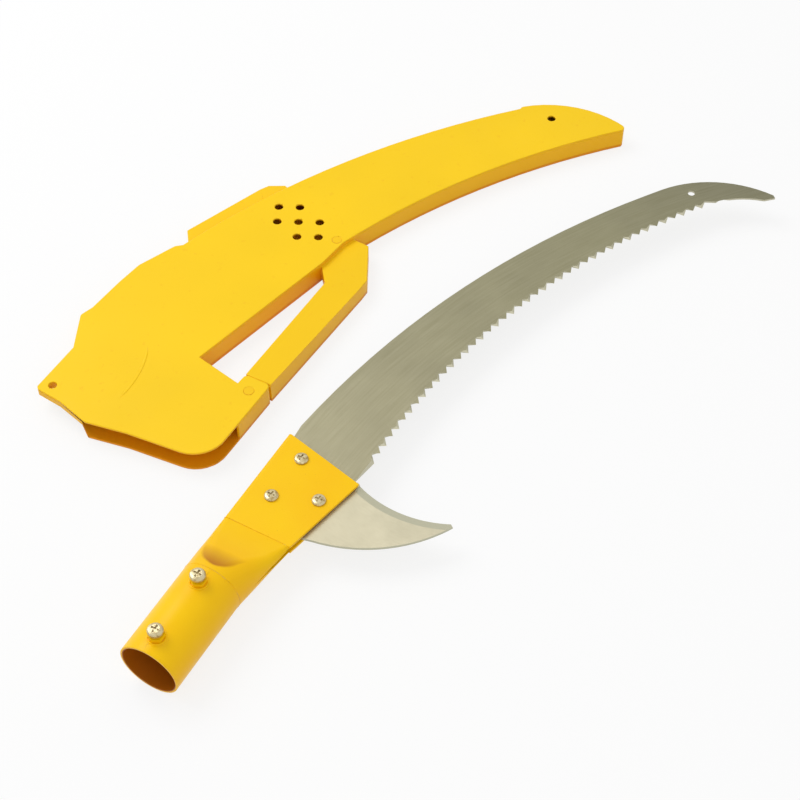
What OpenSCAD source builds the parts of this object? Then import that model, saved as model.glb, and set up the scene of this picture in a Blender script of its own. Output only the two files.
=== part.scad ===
// Pole saw head with its blade sheath.
// +X runs along the socket from its mouth towards the blade, +Z is up, and the origin is the
// centre of the socket's mouth. The curved saw blade and the hook knife lie flat, side by side
// with the sheath that is drawn off them. All sizes are millimetres.

/* [Socket] */
// Outer diameter of the round tube
tube_od = 35; // [34:0.5:36]
// Thickness of the pressed sheet steel
sheet_t = 1.5; // [1.2:0.1:1.6]
// Length of the round part of the tube
tube_len = 58; // [56:1:60]
// Distance from the mouth to where the tube is pressed fully flat
flat_from = 98; // [96:1:102]
// Distance of the folded edge from the tube's axis
fold_y = 18.5; // [18:0.5:19.5]
// Length from the mouth to the far end of the folded edge
fold_len = 165; // [164:1:168]

/* [Blades] */
// Thickness of the saw blade
blade_t = 1.2; // [1:0.1:1.4]
// Thickness of the hook knife
hook_t = 1.8; // [1.6:0.1:2]
// Distance between saw teeth
tooth_pitch = 7.2; // [6.5:0.1:8]
// Depth of the gullets between the teeth
tooth_depth = 4; // [3:0.5:4.5]
// Diameter of the small hole near the blade's tip
tip_hole_d = 4.5; // [3:0.5:5]
// Width of the hook knife's ground bevel
bevel_w = 5; // [3:0.5:6]

/* [Fasteners] */
// Thread diameter of the three blade bolts
bolt_d = 4; // [3.5:0.5:4]
// Head diameter of the blade bolts
bolt_head_d = 8; // [7:0.5:9]
// Head height of the blade bolts
bolt_head_h = 2; // [1.6:0.1:2.2]
// Thread diameter of the two pole screws
screw_d = 5; // [4.5:0.5:5]
// Head diameter of the pole screws
screw_head_d = 8.5; // [8:0.5:9]
// Head height of the pole screws
screw_head_h = 2.5; // [2:0.1:3]
// How far the pole screws are backed out
screw_travel = 2.2; // [1:0.1:3]

/* [Sheath] */
// Outside thickness of the closed sheath
sheath_t = 15; // [15:0.5:18]
// Wall thickness of both shells
shell_t = 1.5; // [1.2:0.1:1.5]
// Diameter of the vent holes
vent_d = 5.5; // [4:0.5:6]
// Distance between vent holes
vent_pitch = 13.7; // [12:0.1:14]
// Diameter of the hang hole in the corner tab
hang_hole_d = 5; // [4:0.5:6]
// Thickness of the corner round the hang hole
lug_t = 6; // [4:0.5:8]
// How far the carry bar drops below the cover at its far end
bar_drop = 3.5; // [2:0.5:5]

/* [Hidden] */

$fn = 64;
eps = 0.01;          // overlap that makes unions clean
far = 600;           // longer than anything in the model

// Socket
tube_r = tube_od / 2;
bore_r = tube_r - sheet_t;
gap = blade_t + hook_t;                  // between the two plies
stack = gap / 2 + sheet_t;               // from the mid-plane to a ply's outer face
fold_cy = fold_y - stack;                // centre line of the folded edge
end_slant = 0.236;                       // the plates' end edge leans this much in X per Y
end_y = 17.2;                            // side position where the end edge is fold_len along
flare = 0.197;                           // the open edge spreads this much in Y per X
flare_x0 = 70;
flare_y0 = -18.3;
plate_corner = [152.7, -35];
slice = 0.02;                            // thickness of the sections that the hulls join
slit_from = 68;                          // where the seam on the right starts to open
flattening = [[0, 1], [0.3, 0.74], [0.66, 0.24], [1, 0]]; // along the transition: place, roundness
join = 0.05;                             // the hull's sections stand this much proud of the round ones

// Blades, one above the other between the plies
blade_z = gap / 2 - blade_t;
hook_z = -gap / 2;
spine_c = [127.2, -564.1];
spine_r = 581.5;
tip_c = [418.6, -143.8];
tip_r = 70.2;
under_c = [432, -159.8];
under_r = 50.8;
teeth_c = [183.4, -529.7];
teeth_r = 497.6;                         // circle half way up the teeth
teeth_from = 91.7;                       // angles of the first and last tooth
teeth_to = 56.2;
tip_point = [486.5, -153];
tip_hole_at = [464.3, -103.8];
heel = [155.5, -31.5];
edge_c = [216.7, -60.8];                 // hook knife's cutting edge
edge_r = 67.7;
back_c = [194, -16.7];                   // hook knife's back
back_r = 86.1;
bevel_depth = hook_t - 0.4;              // the ground edge is 0.4 thick

// Blade bolts: front, rear and side
bolt_at = [[152, 2], [122, 3], [132, -21.5]];
bolt_r = bolt_d / 2;
bolt_clear = 0.1;
washer_t = 0.9;
washer_od = 7.6;
nut_flats = 7;
nut_h = 2.2;
thread_out = 0.2;                        // bolt end past its nut

// Pole screws: front one nearer the blade
pole_screw_x = [48.5, 10.5];
pole_nut_flats = 8;
pole_nut_h = 2.7;
screw_r = screw_d / 2;
run_fit = 0.05;
pole_nut_top = tube_r + pole_nut_h;
screw_seat = pole_nut_top + screw_travel; // underside of the backed-out head

// Sheath
floor_z = -tube_r;                       // tube and sheath lie on the same surface
cover_top = floor_z + sheath_t;
cover_z = cover_top - shell_t;
scab_spine_c = [106.5, -383];
scab_spine_r = 566.6;
scab_tip_c = [444, -14.3];
scab_tip_r = 68.5;
scab_edge_c = [152, -422.2];
scab_edge_r = 522;
corner_r = 3;
hang_hole_at = [131.5, 161];
tip_vent_at = [492, 10];
vent_c = [320.3, 107.6];
vent_turn = -62.5;
pin_at = [[184, 58], [318, 77.5]];
pin_r = 1.5;
pin_head_d = 6;
pin_head_h = 0.8;
boss_r = 3.5;
bar_from = 194;                          // the carry bar's near and far ends
bar_to = 300;
bar_wall = 2;
cover_gap = 0.1;                         // between the bar and the cover's edge

function arc(c, r, a0, a1, n) = [for (i = [0:n]) let (a = a0 + (a1 - a0) * i / n) c + r * [cos(a), sin(a)]];
function open_edge_y(x) = flare_y0 - flare * (x - flare_x0);

module hex_prism(flats, h) {
    cylinder(r = flats / sqrt(3), h = h, $fn = 6);
}

module pan_head(d, h) {
    recess = 0.45 * h;
    slot_l = 0.55 * d;
    slot_w = 0.14 * d;
    difference() {
        rotate_extrude()
            polygon([[0, 0], [d / 2, 0], [d / 2, 0.5 * h], [0.43 * d, 0.85 * h], [0.3 * d, h], [0, h]]);
        for (turn = [0, 90])
            rotate([0, 0, turn])
                translate([-slot_l / 2, -slot_w / 2, h - recess])
                    cube([slot_l, slot_w, h]);
    }
}

// ---- Socket: one pressed sheet, round at the mouth and folded flat over the blades ----

module plate_outline() {
    polygon([[flat_from - eps, fold_y], [fold_len + end_slant * (fold_y - end_y), fold_y],
             plate_corner, [flat_from - eps, open_edge_y(flat_from)]]);
}

module pressed_section(place, roundness, inset) {
    // The two round ends of the tube's cross-section part way to flat; a hull joins them
    x = tube_len + place * (flat_from - tube_len);
    half_h = stack + roundness * (tube_r - stack) - inset + join;
    left_y = tube_r + place * (fold_y - tube_r) - inset + join;
    right_y = -tube_r + place * (open_edge_y(flat_from) + tube_r) + inset - join;
    translate([x, 0, 0]) rotate([0, 90, 0])
        for (y = [left_y - half_h, right_y + half_h])
            translate([0, y, 0]) cylinder(r = half_h, h = slice, $fn = 48);
}

module pressed_solid(inset, over) {
    // over carries the inner solid just past both ends of the outer one
    for (i = [0:len(flattening) - 2])
        hull() {
            translate([i == 0 ? -over : 0, 0, 0])
                pressed_section(flattening[i][0], flattening[i][1], inset);
            translate([i == len(flattening) - 2 ? over : 0, 0, 0])
                pressed_section(flattening[i + 1][0], flattening[i + 1][1], inset);
        }
}

module tube_shell() {
    rotate([0, 90, 0]) difference() {
        cylinder(r = tube_r, h = tube_len);
        translate([0, 0, -1]) cylinder(r = bore_r, h = tube_len + 2);
    }
}

module transition_shell() {
    difference() {
        translate([-slice, 0, 0]) pressed_solid(0, 0);
        translate([-slice, 0, 0]) pressed_solid(sheet_t, slice);
        // The seam opens from nothing to the gap between the plies
        translate([0, -fold_y / 2, 0]) rotate([90, 0, 0]) linear_extrude(far)
            polygon([[slit_from, 0], [flat_from + 1, gap / 2], [flat_from + 1, -gap / 2]]);
    }
}

module folded_plates() {
    intersection() {
        translate([0, 0, -stack]) linear_extrude(2 * stack) plate_outline();
        union() {
            for (z = [-stack, gap / 2])
                translate([0, fold_cy - far, z]) cube([far, far, sheet_t]);
            translate([0, fold_cy, 0]) rotate([0, 90, 0]) difference() {
                cylinder(r = stack, h = far);
                translate([-stack, -2 * stack, -1]) cube([2 * stack, 2 * stack, far + 2]);
                translate([0, 0, -1]) cylinder(r = gap / 2, h = far + 2);
            }
        }
    }
}

module bolt_holes(r) {
    for (p = bolt_at)
        translate([p[0], p[1], -2 * stack]) cylinder(r = r, h = 4 * stack);
}

module socket() {
    color("#f9c31c") difference() {
        union() {
            tube_shell();
            transition_shell();
            folded_plates();
        }
        bolt_holes(bolt_r + bolt_clear);
        for (x = pole_screw_x)
            translate([x, 0, 0]) cylinder(r = screw_r + bolt_clear, h = 2 * tube_r);
    }
}

// ---- Saw blade and hook knife ----

// From the tip end: the root of a tooth, then its point, which leans towards the heel
function tooth_row(n) = [for (i = [0:n - 1], point = [0, 1])
    let (a = teeth_to + (teeth_from - teeth_to) * (i + 0.65 * point) / n,
         r = teeth_r + (0.55 - point) * tooth_depth)
    teeth_c + r * [cos(a), sin(a)]];

module blade_outline() {
    teeth = round(teeth_r * (teeth_from - teeth_to) * PI / 180 / tooth_pitch);
    polygon(concat(
        [[112, -8], [116, 12.5], [165, fold_cy - 0.6]],
        arc(spine_c, spine_r, 85.4, 56.6, 18),
        arc(tip_c, tip_r, 56, -6, 14),
        [tip_point],
        arc(under_c, under_r, 14, 50, 7),
        tooth_row(teeth),
        [heel, [148, -31], [120, -25]]));
}

module saw_blade() {
    color("#a09a80") difference() {
        translate([0, 0, blade_z]) linear_extrude(blade_t) blade_outline();
        bolt_holes(bolt_r + bolt_clear);
        translate([tip_hole_at[0], tip_hole_at[1], -far / 2]) cylinder(d = tip_hole_d, h = far);
    }
}

module hook_outline() {
    polygon(concat(
        [[112, 10], [150, 11], [158, 4], [158, -10], [151.5, -32]],
        arc(edge_c, edge_r, 155.4, 206.5, 20),
        arc(back_c, back_r, 242.5, 189.5, 20),
        [[107, -22]]));
}

module hook_knife() {
    color("#d8d2bd") difference() {
        translate([0, 0, hook_z]) linear_extrude(hook_t) hook_outline();
        bolt_holes(bolt_r + bolt_clear);
        // Bevel ground into the upper face along the hollow edge
        intersection() {
            translate([edge_c[0], edge_c[1], hook_z]) rotate_extrude($fn = 128)
                polygon([[edge_r - 1, hook_t - bevel_depth - 0.28], [edge_r + bevel_w, hook_t],
                         [edge_r + bevel_w, hook_t + 1], [edge_r - 1, hook_t + 1]]);
            translate([100, -120, -gap]) cube([60, 120 + open_edge_y(158) + 1, 2 * gap]);
        }
    }
}

// ---- Blade bolts, lock washers and nuts ----

module at_bolt(i) {
    translate([bolt_at[i][0], bolt_at[i][1], 0]) children();
}

module blade_bolt(i) {
    shank = 2 * stack + washer_t + nut_h + thread_out;
    color("#b9b5aa") at_bolt(i) {
        translate([0, 0, stack]) pan_head(bolt_head_d, bolt_head_h);
        translate([0, 0, stack - shank]) cylinder(r = bolt_r, h = shank + eps);
    }
}

module lock_washer(i) {
    split = 0.8;
    color("#a9a69c") at_bolt(i) translate([0, 0, -stack - washer_t]) difference() {
        cylinder(d = washer_od, h = washer_t);
        translate([0, 0, -1]) cylinder(r = bolt_r + bolt_clear, h = washer_t + 2);
        translate([0, -split / 2, -1]) cube([washer_od, split, washer_t + 2]);
    }
}

module blade_nut(i) {
    color("#a9a69c") at_bolt(i) translate([0, 0, -stack - washer_t - nut_h]) difference() {
        hex_prism(nut_flats, nut_h);
        translate([0, 0, -1]) cylinder(r = bolt_r + run_fit / 2, h = nut_h + 2);
    }
}

// ---- Pole screws and the nuts welded to the tube ----

module pole_nut(i) {
    color("#e0a818") difference() {
        translate([pole_screw_x[i], 0, tube_r - sheet_t]) hex_prism(pole_nut_flats, sheet_t + pole_nut_h);
        rotate([0, 90, 0]) cylinder(r = tube_r, h = tube_len);
        translate([pole_screw_x[i], 0, 0]) cylinder(r = screw_r + run_fit, h = 2 * tube_r);
    }
}

module pole_screw(i) {
    tip_z = bore_r + run_fit;
    color("#c4bfae") translate([pole_screw_x[i], 0, 0]) {
        translate([0, 0, screw_seat]) pan_head(screw_head_d, screw_head_h);
        translate([0, 0, tip_z]) cylinder(r = screw_r, h = screw_seat - tip_z + eps);
    }
}

// ---- Sheath: a flat cover on a walled tray ----

module pouch_and_scabbard(tab) {
    // Plan of the hollow part; the hang tab is on the cover only
    corner = tab ? [[118, 128], [123.5, 150], [125, 168.5]] : [[118, 128], [132, 148], [151.5, 168.5]];
    offset(r = corner_r, $fn = 24) offset(delta = -corner_r)
        polygon(concat(
            corner,
            [[161.5, 168.5], [185.5, 180.8], [194, 178.2], [220.5, 176.6], [238, 174.6], [263, 164.5]],
            arc(scab_spine_c, scab_spine_r, 73.6, 47.3, 16),
            arc(scab_tip_c, scab_tip_r, 44, -21, 10),
            arc(scab_edge_c, scab_edge_r, 47.1, 71.5, 14),
            [[296, 75], [192, 98], [186, 67], [bar_from, 66.6], [bar_from, 49.2], [150, 50]],
            arc([146.5, 70], 20, 262, 186, 7),
            [[123, 102]]));
}

module mouth_zone() {
    // Where the tray has no wall: from the carry bar round to the hang corner
    polygon([[90, 180], [151, 180], [151, 150], [140, 140], [140, 62], [160, 62], [160, 30], [90, 30]]);
}

module bar_outline() {
    polygon(concat(
        [[bar_from - eps, 49.2], [292, 44.5], [299, 44.5], [326, 59]],
        arc(scab_edge_c, scab_edge_r + shell_t / 2, 70.5, 73.6, 3),
        [[296, 76], [284, 66.3], [bar_from - eps, 66.6]]));
}

module bar_side_view(drop) {
    // Side of the carry bar: level with the cover at the pouch, lower at its far end
    translate([0, far / 2, 0]) rotate([90, 0, 0]) linear_extrude(far)
        polygon([[bar_from - 2 * eps, floor_z], [far, floor_z], [far, cover_top - bar_drop - drop],
                 [bar_to, cover_top - bar_drop - drop], [bar_from + cover_gap, cover_top - drop],
                 [bar_from + cover_gap, cover_z - drop], [bar_from - 2 * eps, cover_z - drop]]);
}

module carry_bar() {
    difference() {
        intersection() {
            translate([0, 0, floor_z]) linear_extrude(sheath_t) bar_outline();
            bar_side_view(0);
        }
        // Hollow underneath, as moulded
        intersection() {
            translate([0, 0, floor_z - 1]) linear_extrude(sheath_t) offset(delta = -bar_wall) bar_outline();
            translate([0, 0, -1]) bar_side_view(bar_wall - 1);
        }
    }
}

module spine_flange() {
    flange_h = 12;
    translate([0, 0, floor_z]) linear_extrude(flange_h)
        polygon([[270, 159.2], [281, 167.5], [337, 147.5], [342.5, 144.5], [348, 135], [346, 129.5],
                 [308, 145.5]]);
}

module tray_walls() {
    translate([0, 0, floor_z]) linear_extrude(sheath_t - shell_t) difference() {
        pouch_and_scabbard(false);
        offset(delta = -shell_t) pouch_and_scabbard(false);
        mouth_zone();
    }
}

module sheath_tray() {
    color("#e9a51a") difference() {
        union() {
            translate([0, 0, floor_z]) linear_extrude(shell_t) pouch_and_scabbard(false);
            tray_walls();
            for (p = pin_at)
                translate([p[0], p[1], floor_z]) cylinder(r = boss_r, h = sheath_t - shell_t);
            carry_bar();
            spine_flange();
        }
        for (p = pin_at)
            translate([p[0], p[1], floor_z + shell_t]) cylinder(r = pin_r + run_fit, h = sheath_t);
    }
}

module hang_lug() {
    // Thickens the cover's corner round the hang hole, beside the tray
    translate([0, 0, cover_top - lug_t]) linear_extrude(lug_t)
        polygon([[118.7, 130.5], [123.5, 150], [125, 167], [126.5, 168.5], [149.5, 168.5], [131.5, 148.6]]);
}

module sheath_cover() {
    color("#fbcd29") difference() {
        union() {
            translate([0, 0, cover_z]) linear_extrude(shell_t) pouch_and_scabbard(true);
            hang_lug();
        }
        translate([hang_hole_at[0], hang_hole_at[1], -far / 2]) cylinder(d = hang_hole_d, h = far);
        translate([tip_vent_at[0], tip_vent_at[1], -far / 2]) cylinder(d = vent_d, h = far);
        translate([vent_c[0], vent_c[1], -far / 2]) rotate([0, 0, vent_turn])
            for (i = [-1:1], j = [-1:1])
                if (i * j != 1)
                    translate([i * vent_pitch, j * vent_pitch, 0]) cylinder(d = vent_d, h = far);
        for (p = pin_at) {
            translate([p[0], p[1], cover_z - 1]) cylinder(r = pin_r + run_fit, h = sheath_t);
            translate([p[0], p[1], cover_top - pin_head_h]) cylinder(d = pin_head_d + 0.1, h = sheath_t);
        }
    }
}

module shell_pin(i) {
    pin_l = 10;
    color("#f0bb22") translate([pin_at[i][0], pin_at[i][1], 0]) {
        translate([0, 0, cover_top - pin_head_h]) cylinder(d = pin_head_d, h = pin_head_h);
        translate([0, 0, cover_top - pin_l]) cylinder(r = pin_r, h = pin_l - pin_head_h + eps);
    }
}

socket();
saw_blade();
hook_knife();
blade_bolt(0);  // bolt_front
blade_bolt(1);  // bolt_rear
blade_bolt(2);  // bolt_side
lock_washer(0);  // lock_washer_front
lock_washer(1);  // lock_washer_rear
lock_washer(2);  // lock_washer_side
blade_nut(0);  // nut_front
blade_nut(1);  // nut_rear
blade_nut(2);  // nut_side
pole_nut(0);  // pole_nut_front
pole_nut(1);  // pole_nut_rear
pole_screw(0);  // pole_screw_front
pole_screw(1);  // pole_screw_rear
sheath_cover();
sheath_tray();
shell_pin(0);  // shell_pin_lower
shell_pin(1);  // shell_pin_upper
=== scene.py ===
import math

import bmesh
import bpy
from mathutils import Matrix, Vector


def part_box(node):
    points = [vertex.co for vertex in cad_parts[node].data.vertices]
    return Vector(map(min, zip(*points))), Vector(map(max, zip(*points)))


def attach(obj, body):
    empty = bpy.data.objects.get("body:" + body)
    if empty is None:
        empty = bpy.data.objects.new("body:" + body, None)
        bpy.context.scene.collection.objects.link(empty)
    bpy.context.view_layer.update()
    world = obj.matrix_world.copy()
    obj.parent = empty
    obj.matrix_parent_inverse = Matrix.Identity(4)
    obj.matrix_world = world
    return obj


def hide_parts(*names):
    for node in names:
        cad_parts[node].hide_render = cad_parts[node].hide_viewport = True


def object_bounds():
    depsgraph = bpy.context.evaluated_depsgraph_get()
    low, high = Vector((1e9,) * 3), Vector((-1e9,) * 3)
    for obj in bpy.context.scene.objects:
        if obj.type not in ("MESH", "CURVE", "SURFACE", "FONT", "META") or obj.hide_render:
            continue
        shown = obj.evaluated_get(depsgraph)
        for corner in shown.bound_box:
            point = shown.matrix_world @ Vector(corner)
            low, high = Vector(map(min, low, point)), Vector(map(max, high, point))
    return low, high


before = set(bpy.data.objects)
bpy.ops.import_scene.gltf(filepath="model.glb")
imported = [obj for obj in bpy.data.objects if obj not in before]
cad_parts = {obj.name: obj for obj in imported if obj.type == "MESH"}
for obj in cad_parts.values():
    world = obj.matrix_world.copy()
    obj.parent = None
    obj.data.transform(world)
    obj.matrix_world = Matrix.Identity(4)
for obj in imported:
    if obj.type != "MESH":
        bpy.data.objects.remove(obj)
cad_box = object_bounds()

MM = 0.001

# The saw's teeth lie on an arc. Their points are this far from its centre, give or take the
# tolerance, and grinding draws a point back by the grind length.
TEETH_CENTRE = Vector((183.4 * MM, -529.7 * MM))
TEETH_POINT_RADIUS = 495.8 * MM
POINT_TOLERANCE = 0.2 * MM
GRIND_LENGTH = 2.0 * MM

# Centres, in mm, of the arcs that the grinding marks follow.
SAW_MARKS_CENTRE = (127.2, -564.1)
HOOK_MARKS_CENTRE = (216.7, -60.8)

# The painted shade inside the tube fades out between these radii, and between these x.
TUBE_WALL_RADII = (16.7 * MM, 16.3 * MM)
TUBE_INSIDE_ENDS = (60 * MM, 75 * MM)

# The painted shade on the tray's inner floor fades in between these heights.
TRAY_FLOOR_HEIGHTS = (-14.5 * MM, -15.5 * MM)

# Corners of a CAD mesh closer than this are one corner.
WELD_DISTANCE = 0.002 * MM

# Camera: the point it looks at, its place, and its lens on a 36 mm sensor.
AIM = Vector((219.2 * MM, -23.75 * MM, 0))
CAMERA_AT = Vector((-304.1 * MM, -316.5 * MM, 709.6 * MM))
LENS_MM = 72


# ---- Node materials ----

def srgb(red, green, blue):
    """A linear colour from one written as three numbers up to 255."""
    def linear(value):
        value /= 255
        return value / 12.92 if value <= 0.04045 else ((value + 0.055) / 1.055) ** 2.4
    return (linear(red), linear(green), linear(blue), 1.0)


class Shader:
    """One node material, built with short calls. Positions are in the shared frame, in metres."""

    def __init__(self, name):
        self.material = bpy.data.materials.new(name)
        self.material.use_nodes = True
        self.tree = self.material.node_tree
        self.bsdf = next(n for n in self.tree.nodes if n.type == "BSDF_PRINCIPLED")
        coordinates = self.node("TexCoord")
        self.place = coordinates.outputs["Object"]
        self.axes = self.node("SeparateXYZ")
        self.put(self.axes.inputs[0], self.place)
        self.geometry = self.node("NewGeometry")

    def node(self, kind, **settings):
        made = self.tree.nodes.new("ShaderNode" + kind)
        for key, value in settings.items():
            setattr(made, key, value)
        return made

    def put(self, socket, value):
        if isinstance(value, bpy.types.NodeSocket):
            self.tree.links.new(value, socket)
        else:
            socket.default_value = value

    def surface(self, **values):
        """Sets the Principled sockets, written with _ for each space."""
        for key, value in values.items():
            self.put(self.bsdf.inputs[key.replace("_", " ")], value)

    def calc(self, operation, a, b=0.0):
        made = self.node("Math", operation=operation)
        self.put(made.inputs[0], a)
        self.put(made.inputs[1], b)
        return made.outputs[0]

    def band(self, value, low, high, to_low=0.0, to_high=1.0):
        """value from low to high becomes to_low to to_high, and stays there outside."""
        made = self.node("MapRange")
        for name, number in (("Value", value), ("From Min", low), ("From Max", high),
                             ("To Min", to_low), ("To Max", to_high)):
            self.put(made.inputs[name], number)
        return made.outputs["Result"]

    def mix(self, share, first, second):
        made = self.node("Mix", data_type="RGBA")
        self.put(made.inputs[0], share)
        self.put(made.inputs[6], first)
        self.put(made.inputs[7], second)
        return made.outputs[2]

    def noise(self, scale, detail=4.0, vector=None):
        made = self.node("TexNoise")
        self.put(made.inputs["Vector"], vector or self.place)
        self.put(made.inputs["Scale"], scale)
        self.put(made.inputs["Detail"], detail)
        return made.outputs["Fac"]

    def facing_up(self):
        """How squarely the surface faces up or down, 0 on a side wall and 1 on top."""
        parts = self.node("SeparateXYZ")
        self.put(parts.inputs[0], self.geometry.outputs["True Normal"])
        return self.calc("ABSOLUTE", parts.outputs["Z"])

    def edges(self, radius):
        """1 along sharp edges, 0 on open faces."""
        rounded = self.node("Bevel", samples=4)
        self.put(rounded.inputs["Radius"], radius)
        compare = self.node("VectorMath", operation="DOT_PRODUCT")
        self.put(compare.inputs[0], rounded.outputs["Normal"])
        self.put(compare.inputs[1], self.geometry.outputs["Normal"])
        return self.band(compare.outputs["Value"], 0.99, 0.85)

    def bump(self, height, distance, strength=1.0):
        made = self.node("Bump")
        self.put(made.inputs["Strength"], strength)
        self.put(made.inputs["Distance"], distance)
        self.put(made.inputs["Height"], height)
        self.put(self.bsdf.inputs["Normal"], made.outputs["Normal"])


def powder_coat(name):
    """Yellow powder coat on pressed steel: orange peel and chipped edges, with painted shade on the side
    walls and inside the tube.
    """
    made = Shader(name)
    patches = made.band(made.noise(22, 3), 0.35, 0.7)
    colour = made.mix(patches, srgb(255, 205, 0), srgb(253, 197, 0))
    # Painted shade: side walls turn a darker orange, as if they got less light than the top.
    walls = made.band(made.facing_up(), 0.6, 0.1, 0.0, 0.3)
    colour = made.mix(walls, colour, srgb(236, 165, 10))
    # Painted shade: the inside of the tube near its mouth is painted dark orange.
    across = made.calc("POWER", made.axes.outputs["Y"], 2.0)
    height = made.calc("POWER", made.axes.outputs["Z"], 2.0)
    radius = made.calc("SQRT", made.calc("ADD", across, height))
    near_mouth = made.band(made.axes.outputs["X"], *TUBE_INSIDE_ENDS, 1.0, 0.0)
    tube_shade = made.calc("MULTIPLY", made.band(radius, *TUBE_WALL_RADII), near_mouth)
    colour = made.mix(tube_shade, colour, srgb(176, 96, 12))
    worn = made.calc("MULTIPLY", made.edges(0.5 * MM), made.band(made.noise(160, 5), 0.5, 0.62))
    colour = made.mix(made.calc("MULTIPLY", worn, 0.55), colour, srgb(196, 168, 112))
    specks = made.band(made.noise(620, 2), 0.71, 0.76, 0.0, 0.35)
    colour = made.mix(specks, colour, srgb(205, 140, 12))
    made.surface(Base_Color=colour, Roughness=made.band(made.noise(90, 4), 0.3, 0.7, 0.3, 0.42),
                 Specular_IOR_Level=0.2)
    made.bump(made.noise(750, 2), 0.05 * MM, 0.5)
    return made.material


def moulded_plastic(name, face, wall_shade_and_scratch, floor_shade=None):
    """Hard moulded plastic: fine grain, flow marks, pale rubbed edges, painted shade on the side walls,
    and, if a floor colour is given, painted shade on the low inner floor.
    """
    made = Shader(name)
    flow = made.band(made.noise(14, 2), 0.3, 0.7)
    colour = made.mix(flow, face, tuple(0.95 * c for c in face[:3]) + (1.0,))
    # Painted shade: side walls get the darker wall colour, which the scratches below also use.
    walls = made.band(made.facing_up(), 0.8, 0.15)
    colour = made.mix(made.calc("MULTIPLY", walls, 0.75), colour, wall_shade_and_scratch)
    if floor_shade:
        # Painted shade: the tray's low inner floor is painted darker.
        low = made.band(made.axes.outputs["Z"], *TRAY_FLOOR_HEIGHTS)
        colour = made.mix(low, colour, floor_shade)
    rubbed = made.calc("MULTIPLY", made.edges(0.6 * MM), made.band(made.noise(120, 5), 0.45, 0.65))
    colour = made.mix(made.calc("MULTIPLY", rubbed, 0.3), colour, srgb(255, 226, 120))
    scratches = made.band(made.noise(260, 8), 0.64, 0.72, 0.0, 0.2)
    colour = made.mix(scratches, colour, wall_shade_and_scratch)
    made.surface(Base_Color=colour, Roughness=made.band(made.noise(60, 4), 0.3, 0.7, 0.36, 0.48),
                 Specular_IOR_Level=0.2)
    made.bump(made.calc("ADD", made.noise(1400, 2), made.calc("MULTIPLY", flow, 2.0)), 0.03 * MM, 0.4)
    return made.material


def ground_steel(name, along, ground, streak_centre, metallic=0.75):
    """Steel sheet with grinding marks.

    along is a list of (x in mm, colour), and ground is the colour of the bevels.
    """
    made = Shader(name)
    ramp = made.node("ValToRGB")
    first, last = along[0][0], along[-1][0]
    while len(ramp.color_ramp.elements) < len(along):
        ramp.color_ramp.elements.new(0.5)
    for stop, (x, colour) in zip(ramp.color_ramp.elements, along):
        stop.position = (x - first) / (last - first)
        stop.color = colour
    made.put(ramp.inputs[0], made.band(made.axes.outputs["X"], first * MM, last * MM))
    # Marks run along the arc: the noise is stretched round the arc's centre
    from_x = made.calc("SUBTRACT", made.axes.outputs["X"], streak_centre[0] * MM)
    from_y = made.calc("SUBTRACT", made.axes.outputs["Y"], streak_centre[1] * MM)
    squared = made.calc("ADD", made.calc("POWER", from_x, 2.0), made.calc("POWER", from_y, 2.0))
    polar = made.node("CombineXYZ")
    made.put(polar.inputs[0], made.calc("SQRT", squared))
    made.put(polar.inputs[1], made.calc("MULTIPLY", made.calc("ARCTAN2", from_y, from_x), 0.02))
    streaks = made.noise(900, 3, polar.outputs[0])
    colour = made.mix(made.band(streaks, 0.3, 0.7, 0.0, 0.07), ramp.outputs["Color"], srgb(236, 232, 214))
    clouds = made.band(made.noise(35, 3), 0.35, 0.7, 0.0, 0.15)
    colour = made.mix(clouds, colour, srgb(104, 100, 78))
    slanted = made.band(made.facing_up(), 0.99, 0.975)
    colour = made.mix(slanted, colour, ground)
    worn = made.calc("MULTIPLY", made.edges(0.25 * MM), 0.4)
    colour = made.mix(worn, colour, srgb(226, 222, 204))
    made.surface(Base_Color=colour, Metallic=metallic,
                 Roughness=made.band(streaks, 0.3, 0.7, 0.34, 0.46))
    made.bump(streaks, 0.02 * MM, 0.15)
    return made.material


def zinc_plate(name, colour, stain):
    """Zinc-plated fastener: bright with a few dull stains and rubbed edges."""
    made = Shader(name)
    stains = made.band(made.noise(450, 4), 0.48, 0.66)
    mixed = made.mix(stains, colour, stain)
    mixed = made.mix(made.calc("MULTIPLY", made.edges(0.2 * MM), 0.5), mixed, srgb(240, 236, 222))
    made.surface(Base_Color=mixed, Metallic=0.7, Roughness=made.band(stains, 0.0, 1.0, 0.26, 0.42))
    made.bump(made.noise(1800, 2), 0.02 * MM, 0.4)
    return made.material


# ---- Pieces ----

def bare_copy(node):
    """A welded bmesh of a CAD node."""
    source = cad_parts[node].data
    bm = bmesh.new()
    bm.from_mesh(source)
    bmesh.ops.remove_doubles(bm, verts=bm.verts, dist=WELD_DISTANCE)
    return bm


def piece_from(bm, name, smooth_deg):
    """A new object with smooth faces that meet sharply at angles above smooth_deg."""
    mesh = bpy.data.meshes.new(name)
    bm.to_mesh(mesh)
    bm.free()
    normals = mesh.attributes.get("custom_normal")
    if normals:
        mesh.attributes.remove(normals)
    mesh.materials.clear()
    for face in mesh.polygons:
        face.use_smooth = True
        face.material_index = 0
    mesh.set_sharp_from_angle(angle=math.radians(smooth_deg))
    piece = bpy.data.objects.new(name, mesh)
    bpy.context.scene.collection.objects.link(piece)
    return piece


def round_edges(piece, width, from_deg, segments=2):
    """Rounds the edges that turn by more than from_deg, and keeps flat faces flat."""
    rounding = piece.modifiers.new("rounded_edges", "BEVEL")
    rounding.width = width
    rounding.segments = segments
    rounding.limit_method = "ANGLE"
    rounding.angle_limit = math.radians(from_deg)
    rounding.use_clamp_overlap = False
    weighted = piece.modifiers.new("flat_faces_stay_flat", "WEIGHTED_NORMAL")
    weighted.keep_sharp = True


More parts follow.
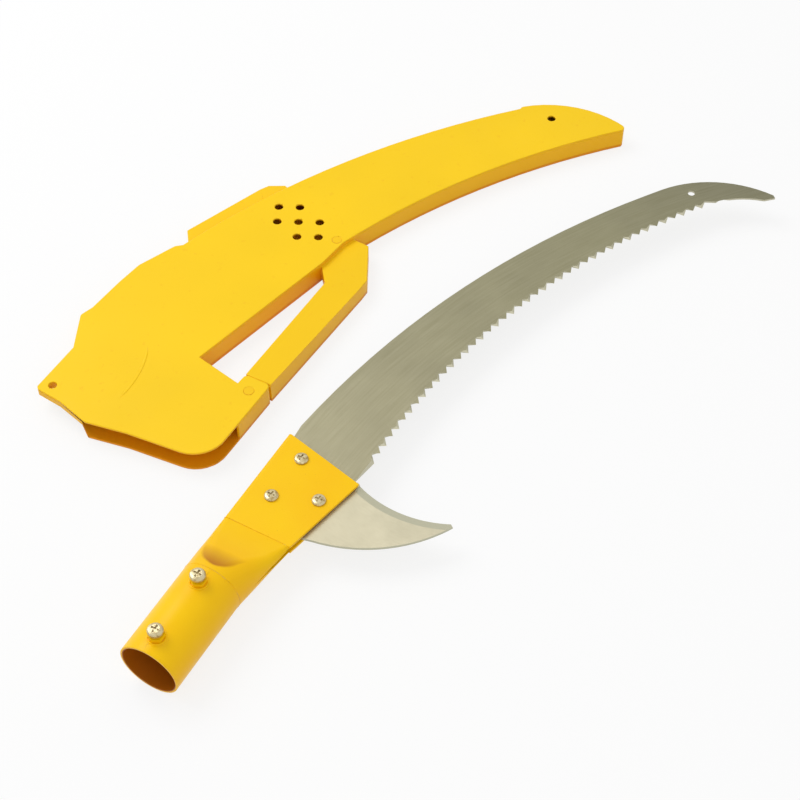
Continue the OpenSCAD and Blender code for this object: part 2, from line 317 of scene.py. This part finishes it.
def stands_for(piece, node, body, material):
    """Shows the piece in place of a CAD node, moving with the node's body."""
    piece.data.materials.append(material)
    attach(piece, body)
    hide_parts(node)


def join_flat_faces(bm):
    """Makes each flat face one polygon, so that rounding its edges leaves no slivers."""
    bmesh.ops.dissolve_limit(
        bm, angle_limit=math.radians(0.1), use_dissolve_boundaries=False,
        verts=bm.verts, edges=bm.edges,
    )


def rounded_piece(node, body, material, edge, from_deg=40, smooth_deg=40, join_flats=True):
    """Stands for a CAD node, with the small round edges that pressing or moulding leaves."""
    bm = bare_copy(node)
    if join_flats:
        join_flat_faces(bm)
    piece = piece_from(bm, node + "_finished", smooth_deg)
    round_edges(piece, edge, from_deg)
    stands_for(piece, node, body, material)


def grind_teeth(bm):
    """Draws back one face of each tooth's point, upper and lower in turn, as alternate grinding does."""
    def from_centre(vertex):
        return vertex.co.xy - TEETH_CENTRE
    middle = sum(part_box("saw_blade"), Vector()).z / 2
    points = [v for v in bm.verts if abs(from_centre(v).length - TEETH_POINT_RADIUS) < POINT_TOLERANCE]
    upper = sorted((v for v in points if v.co.z > middle), key=lambda v: v.co.x)
    lower = sorted((v for v in points if v.co.z < middle), key=lambda v: v.co.x)
    ground = upper[::2] + lower[1::2]
    for vertex in ground:
        vertex.co.xy += from_centre(vertex).normalized() * GRIND_LENGTH
    walls = {f for v in ground for f in v.link_faces if abs(f.normal.z) < 0.5}
    bmesh.ops.triangulate(bm, faces=list(walls))


def saw_blade(material):
    bm = bare_copy("saw_blade")
    grind_teeth(bm)
    piece = piece_from(bm, "saw_blade_ground", 20)
    stands_for(piece, "saw_blade", "head", material)


def moulded_line(material):
    """The low curved ridge on the cover, beside the mouth."""
    start, bend, end = Vector((184, 130)), Vector((166, 119)), Vector((142, 121))
    half_width, height, sunk = 0.9, 0.3, 0.2
    steps, arch = 24, 6
    taper_rate, least_width = 8, 0.05
    surface_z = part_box("sheath_cover")[1].z
    bm = bmesh.new()
    rings = []
    for i in range(steps + 1):
        t = i / steps
        at = start * (1 - t) ** 2 + bend * (2 * t * (1 - t)) + end * t ** 2
        along = ((bend - start) * (1 - t) + (end - bend) * t).normalized()
        side = Vector((-along.y, along.x))
        taper = min(1.0, taper_rate * t + least_width, taper_rate * (1 - t) + least_width)
        ring = []
        for k in range(arch + 1):
            turn = math.pi * k / arch
            flat = at + side * (half_width * taper * math.cos(turn))
            lift = height * taper * math.sin(turn) - (sunk if k in (0, arch) else 0)
            ring.append(bm.verts.new((flat.x * MM, flat.y * MM, surface_z + lift * MM)))
        rings.append(ring)
    for a, b in zip(rings, rings[1:]):
        for k in range(arch + 1):
            following = (k + 1) % (arch + 1)
            bm.faces.new((a[k], a[following], b[following], b[k]))
    bm.faces.new(rings[0])
    bm.faces.new(reversed(rings[-1]))
    bmesh.ops.recalc_face_normals(bm, faces=bm.faces)
    piece = piece_from(bm, "cover_moulded_line", 60)
    piece.data.materials.append(material)
    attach(piece, "sheath")


def weld_bead(node, material):
    """The uneven bead that joins a pole nut to the tube."""
    low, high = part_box(node)
    centre = (low + high) / 2
    tube_radius = -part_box("socket")[0].z
    reach, thick = 4.9 * MM, 0.55 * MM
    around, section = 48, 8
    bm = bmesh.new()
    rings = []
    for i in range(around):
        turn = 2 * math.pi * i / around
        outward = Vector((math.cos(turn), math.sin(turn), 0))
        wobble = 1 + 0.18 * math.sin(7 * turn) + 0.1 * math.sin(13 * turn + 1)
        ring = []
        for k in range(section):
            bend = 2 * math.pi * k / section
            at = outward * (reach + thick * wobble * math.cos(bend))
            drop = math.sqrt(max(tube_radius ** 2 - at.y ** 2, 0))
            ring.append(bm.verts.new((centre.x + at.x, centre.y + at.y,
                                      drop + thick * 0.8 * wobble * math.sin(bend))))
        rings.append(ring)
    for i in range(around):
        a, b = rings[i], rings[(i + 1) % around]
        for k in range(section):
            following = (k + 1) % section
            bm.faces.new((a[k], b[k], b[following], a[following]))
    bmesh.ops.recalc_face_normals(bm, faces=bm.faces)
    piece = piece_from(bm, node + "_weld", 80)
    piece.data.materials.append(material)
    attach(piece, "head")


# ---- The object ----

paint = powder_coat("socket_paint")
# Each plastic's second colour is its painted wall shade, also used for scratches; the tray's third colour
# is its painted floor shade.
cover = moulded_plastic("cover_plastic", srgb(255, 210, 18), srgb(240, 172, 14))
tray = moulded_plastic("tray_plastic", srgb(254, 206, 14), srgb(244, 178, 14), srgb(232, 150, 10))
pin = moulded_plastic("pin_plastic", srgb(252, 203, 16), srgb(236, 165, 12))
blade_steel = ground_steel(
    "blade_steel",
    [(150, srgb(162, 156, 126)), (250, srgb(152, 147, 117)),
     (400, srgb(143, 139, 108)), (490, srgb(124, 121, 95))],
    srgb(188, 184, 160), SAW_MARKS_CENTRE)
hook_steel = ground_steel(
    "hook_steel",
    [(105, srgb(200, 192, 164)), (160, srgb(204, 197, 169))],
    srgb(186, 184, 160), HOOK_MARKS_CENTRE)
zinc_bright = zinc_plate("zinc_screws", srgb(206, 192, 152), srgb(164, 142, 92))
zinc_nut = zinc_plate("zinc_nuts", srgb(188, 182, 166), srgb(150, 142, 120))
zinc_dull = zinc_plate("zinc_washers", srgb(172, 167, 152), srgb(134, 126, 106))

rounded_piece("socket", "head", paint, 0.2 * MM, from_deg=60, smooth_deg=32)
rounded_piece("sheath_cover", "sheath", cover, 0.45 * MM)
rounded_piece("sheath_tray", "sheath", tray, 0.4 * MM, join_flats=False)
rounded_piece("hook_knife", "head", hook_steel, 0.08 * MM, smooth_deg=10)
saw_blade(blade_steel)
moulded_line(cover)
for nut in ("pole_nut_front", "pole_nut_rear"):
    weld_bead(nut, paint)

finishes = {"bolt": zinc_bright, "pole_screw": zinc_bright, "lock_washer": zinc_dull, "nut": zinc_nut,
            "pole_nut": paint, "shell_pin": pin}
for name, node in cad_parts.items():
    for start, material in finishes.items():
        if name.startswith(start):
            node.data.materials.clear()
            node.data.materials.append(material)


# ---- Studio ----

def seen_directly(tree):
    """1 for camera, glossy and transmission rays, so that the background looks white to them."""
    path = tree.nodes.new("ShaderNodeLightPath")
    total = path.outputs["Is Camera Ray"]
    for ray in ("Is Glossy Ray", "Is Transmission Ray"):
        larger = tree.nodes.new("ShaderNodeMath")
        larger.operation = "MAXIMUM"
        tree.links.new(total, larger.inputs[0])
        tree.links.new(path.outputs[ray], larger.inputs[1])
        total = larger.outputs[0]
    return total


def scaled(tree, value, low, high):
    made = tree.nodes.new("ShaderNodeMapRange")
    tree.links.new(value, made.inputs["Value"])
    made.inputs["To Min"].default_value = low
    made.inputs["To Max"].default_value = high
    return made.outputs["Result"]


def sky(ambient):
    world = bpy.data.worlds.new("studio")
    bpy.context.scene.world = world
    world.use_nodes = True
    tree = world.node_tree
    tree.nodes.clear()
    background = tree.nodes.new("ShaderNodeBackground")
    background.inputs["Color"].default_value = (1, 1, 1, 1)
    tree.links.new(scaled(tree, seen_directly(tree), ambient, 1.0), background.inputs["Strength"])
    output = tree.nodes.new("ShaderNodeOutputWorld")
    tree.links.new(background.outputs[0], output.inputs["Surface"])


def floor(level, half_side=40.0, glow=0.8):
    """A pale floor at the height that the object lies on. It is near white, and keeps a soft shadow."""
    mesh = bpy.data.meshes.new("floor")
    corners = [(-half_side, -half_side), (half_side, -half_side),
               (half_side, half_side), (-half_side, half_side)]
    mesh.from_pydata([(x, y, level) for x, y in corners], [], [(0, 1, 2, 3)])
    made = bpy.data.objects.new("floor", mesh)
    bpy.context.scene.collection.objects.link(made)
    material = bpy.data.materials.new("floor")
    material.use_nodes = True
    tree = material.node_tree
    tree.nodes.clear()
    diffuse = tree.nodes.new("ShaderNodeBsdfDiffuse")
    diffuse.inputs["Color"].default_value = (0.92, 0.92, 0.92, 1)
    white = tree.nodes.new("ShaderNodeEmission")
    both = tree.nodes.new("ShaderNodeMixShader")
    output = tree.nodes.new("ShaderNodeOutputMaterial")
    tree.links.new(scaled(tree, seen_directly(tree), 0.0, glow), both.inputs[0])
    tree.links.new(diffuse.outputs[0], both.inputs[1])
    tree.links.new(white.outputs[0], both.inputs[2])
    tree.links.new(both.outputs[0], output.inputs["Surface"])
    mesh.materials.append(material)


def softbox(name, toward, distance, size, watts):
    lamp = bpy.data.lights.new(name, "AREA")
    lamp.shape = "DISK"
    lamp.size = size
    lamp.energy = watts
    holder = bpy.data.objects.new(name, lamp)
    middle = (cad_box[0] + cad_box[1]) / 2
    direction = Vector(toward).normalized()
    holder.location = middle + direction * distance
    holder.rotation_mode = "QUATERNION"
    holder.rotation_quaternion = (-direction).to_track_quat("-Z", "Y")
    bpy.context.scene.collection.objects.link(holder)


def camera():
    lens = bpy.data.cameras.new("camera")
    lens.lens = LENS_MM
    lens.sensor_width = 36
    lens.clip_start = 0.01
    lens.clip_end = 200
    holder = bpy.data.objects.new("camera", lens)
    holder.location = CAMERA_AT
    holder.rotation_mode = "QUATERNION"
    holder.rotation_quaternion = (AIM - CAMERA_AT).to_track_quat("-Z", "Y")
    bpy.context.scene.collection.objects.link(holder)
    bpy.context.scene.camera = holder


sky(ambient=0.62)
floor(level=cad_box[0].z)
softbox("key", (0.02, 0.58, 0.75), 1.6, 1.1, 11)
softbox("fill", (-0.6, -0.5, 0.7), 1.8, 1.4, 3)
camera()
bpy.context.scene.view_settings.view_transform = "Standard"
